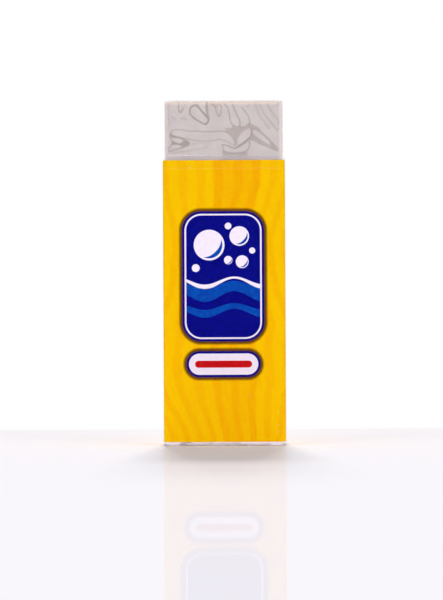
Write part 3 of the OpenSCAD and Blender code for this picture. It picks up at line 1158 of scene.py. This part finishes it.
def rounded_shape(size, cz, steps=14):
    """A rounded rectangle's outline at cz on the badge's centre line, counterclockwise."""
    half_w, half_h, r = size
    points = []
    for x, z, start in ((1, 1, 0), (-1, 1, 90), (-1, -1, 180), (1, -1, 270)):
        for k in range(steps + 1):
            a = math.radians(start + 90 * k / steps)
            points.append(on_circle(x * (half_w - r), z * (half_h - r), r, a))
    return np.array(points) + (PANEL_X, cz)


def disc(cx, cz, r, steps=44):
    angles = np.linspace(0, 2 * math.pi, steps, endpoint=False)
    return np.array([on_circle(cx, cz, r, a) for a in angles])


def crescent(cx, cz, r, steps=18):
    """A thin crescent along the lower right rim of a disc."""
    rim = 0.86
    angles = np.linspace(math.radians(-115), math.radians(25), steps)
    thickness = 0.26 * np.sin(np.linspace(0, math.pi, steps))
    outer = [on_circle(cx, cz, r * rim, a) for a in angles]
    inner = [on_circle(cx, cz, r * (rim - thick), a) for a, thick in zip(angles, thickness)]
    return np.array(outer + inner[-2:0:-1])


def wavy_band(low, high, swing, steps=40):
    """A band right across the panel inside its white line, its two edges waving together."""
    half_w = PANEL[0] - KEYLINE_W
    xs = np.linspace(-half_w, half_w, steps)
    wave = swing * np.sin(xs / half_w * math.pi * 1.25 + 0.4)
    lower = [(x, low + w) for x, w in zip(xs, wave)]
    upper = [(x, high + w * 0.75) for x, w in zip(xs, wave)]
    return np.array(lower + upper[::-1]) + (PANEL_X, PANEL_Z)


def ink_piece(name, shapes, layer, material):
    """Flat printed shapes at one level on the front, each a thin plate from an outline of (x, z)."""
    built = bmesh.new()
    base = SLEEVE_LOW.y - INK_STEP * layer
    for shape in shapes:
        back, front = (
            [built.verts.new(Vector((x, y, z)) * MM) for x, z in shape] for y in (base + INK_T, base)
        )
        built.faces.new(front)
        built.faces.new(back[::-1])
        for i in range(len(shape)):
            j = (i + 1) % len(shape)
            built.faces.new((front[i], back[i], back[j], front[j]))
    bmesh.ops.recalc_face_normals(built, faces=built.faces)
    bmesh.ops.triangulate(built, faces=[f for f in built.faces if len(f.verts) > 4])
    obj = new_piece(name, mesh_from(name, built), material, smooth=False)


def print_pieces():
    """The badge that takes the place of the wording: plain bubbles and waves, over a red bar."""
    for name, z, size in (("panel_shadow", PANEL_Z, PANEL), ("pill_shadow", PILL_Z, PILL)):
        size = grown(size, EDGE_W)
        brown = soft_shadow_material(PANEL_X, z, *size, SHADOW_W)
        ink_piece(name, [rounded_shape(grown(size, SHADOW_W), z)], 1, brown)
    navy = ink_material("ink_navy", *NAVY)
    blue = ink_material("ink_blue", *BLUE)
    for name, grow, layer, ink in (
        ("badge_edge", EDGE_W, 2, navy),
        ("badge_white", 0.0, 3, ink_material("ink_white", *PAPER_WHITE)),
    ):
        shapes = [rounded_shape(grown(PANEL, grow), PANEL_Z), rounded_shape(grown(PILL, grow), PILL_Z)]
        ink_piece(name, shapes, layer, ink)
    ink_piece("badge_navy", [rounded_shape(grown(PANEL, -KEYLINE_W), PANEL_Z)], 4, navy)
    ink_piece("badge_waves", [wavy_band(*wave) for wave in WAVES], 5, blue)
    bubbles = [(PANEL_X + right, PANEL_Z + up, r) for right, up, r in BUBBLES]
    white = ink_material("ink_bubble", *BUBBLE_WHITE)
    ink_piece("badge_bubbles", [disc(*bubble) for bubble in bubbles] + [wavy_band(*FOAM)], 5, white)
    shades = [crescent(*bubble) for bubble in bubbles if bubble[2] > LEAST_SHADED_R]
    ink_piece("badge_bubble_shades", shades, 6, blue)
    ink_piece("badge_red_bar", [rounded_shape(BAR, PILL_Z)], 4, ink_material("ink_red", *RED))


# The studio

PX_PER_MM = (SLEEVE_RIGHT_PX - SLEEVE_LEFT_PX) / (SLEEVE_HIGH.x - SLEEVE_LOW.x)
CAMERA_X = (PHOTO_W / 2 - (SLEEVE_LEFT_PX + SLEEVE_RIGHT_PX) / 2) / PX_PER_MM
CAMERA_Y = SLEEVE_LOW.y - CAMERA_DISTANCE
CAMERA_Z = SLEEVE_LOW.z + (SLEEVE_BOTTOM_PX - PHOTO_H / 2) / PX_PER_MM


def soft_sun(name, azimuth, elevation, share, spread):
    """Soft light from far away.

    azimuth counts from the camera's side towards +X, share is what it adds to a white surface that
    faces it, and spread the width of the light in degrees.
    """
    data = bpy.data.lights.new(name, "SUN")
    data.energy = share * math.pi
    data.angle = math.radians(spread)
    lamp = link(bpy.data.objects.new(name, data))
    a, e = math.radians(azimuth), math.radians(elevation)
    towards = Vector((math.sin(a) * math.cos(e), -math.cos(a) * math.cos(e), math.sin(e)))
    lamp.rotation_euler = towards.to_track_quat("Z", "Y").to_euler()


def studio():
    """A pale room that lights evenly. The camera, mirror images and clear film see it as plain white."""
    world = bpy.data.worlds.new("studio")
    bpy.context.scene.world = world
    g = Graph(world, "ShaderNodeOutputWorld")
    room = g.shader("ShaderNodeBackground", Color=(0.985, 0.98, 1.0, 1), Strength=ROOM_LIGHT)
    sight = g.shader("ShaderNodeBackground", Color=WHITE, Strength=1.0)
    path = g.node("ShaderNodeLightPath").outputs
    seen = g.most(g.most(path["Is Camera Ray"], path["Is Glossy Ray"]), path["Is Transmission Ray"])
    g.finish(g.mix_shaders(seen, room, sight))


def camera():
    """Looks straight at the printed front, placed by the sleeve's edges in the photograph."""
    data = bpy.data.cameras.new("camera")
    data.sensor_width = SENSOR_W
    data.lens = PX_PER_MM * CAMERA_DISTANCE * SENSOR_W / PHOTO_H
    data.clip_start = 0.01
    data.clip_end = 50
    made = link(bpy.data.objects.new("camera", data))
    made.location = Vector((CAMERA_X, CAMERA_Y, CAMERA_Z)) * MM
    made.rotation_euler = Euler((math.radians(90), math.radians(PICTURE_TILT), 0), "XYZ")
    bpy.context.scene.camera = made


def floor_piece():
    """A flat white floor that goes over into the background at the photograph's horizon."""
    drop = (HORIZON_PX - PHOTO_H / 2) / (PX_PER_MM * CAMERA_DISTANCE)
    far_edge = CAMERA_Y + CAMERA_Z / drop
    half = FLOOR_HALF * MM
    mesh = bpy.data.meshes.new("floor")
    corners = [(-half, -half, 0), (half, -half, 0), (half, half, 0), (-half, half, 0)]
    mesh.from_pydata(corners, [], [(0, 1, 2, 3)])
    mesh.materials.append(floor_material(far_edge))
    made = link(bpy.data.objects.new("floor", mesh))


def dress(name, material):
    """Gives a CAD node its finish."""
    slots = nodes[name].data.materials
    slots.clear()
    slots.append(material)


def main():
    camera()
    studio()
    floor_piece()
    for lamp in LAMPS:
        soft_sun(*lamp)

    dress("rubber_block", vinyl_material())
    dress("card_sleeve", card_material())
    dress("tear_tape", tape_material())
    film_piece(film_material())
    print_pieces()
    speck_piece(ink_material("speck_white", SPECK_WHITE))

    scene = bpy.context.scene
    scene.view_settings.view_transform = "Standard"
    scene.cycles.transparent_max_bounces = 48
    scene.cycles.max_bounces = 12


main()
bpy.context.view_layer.update()
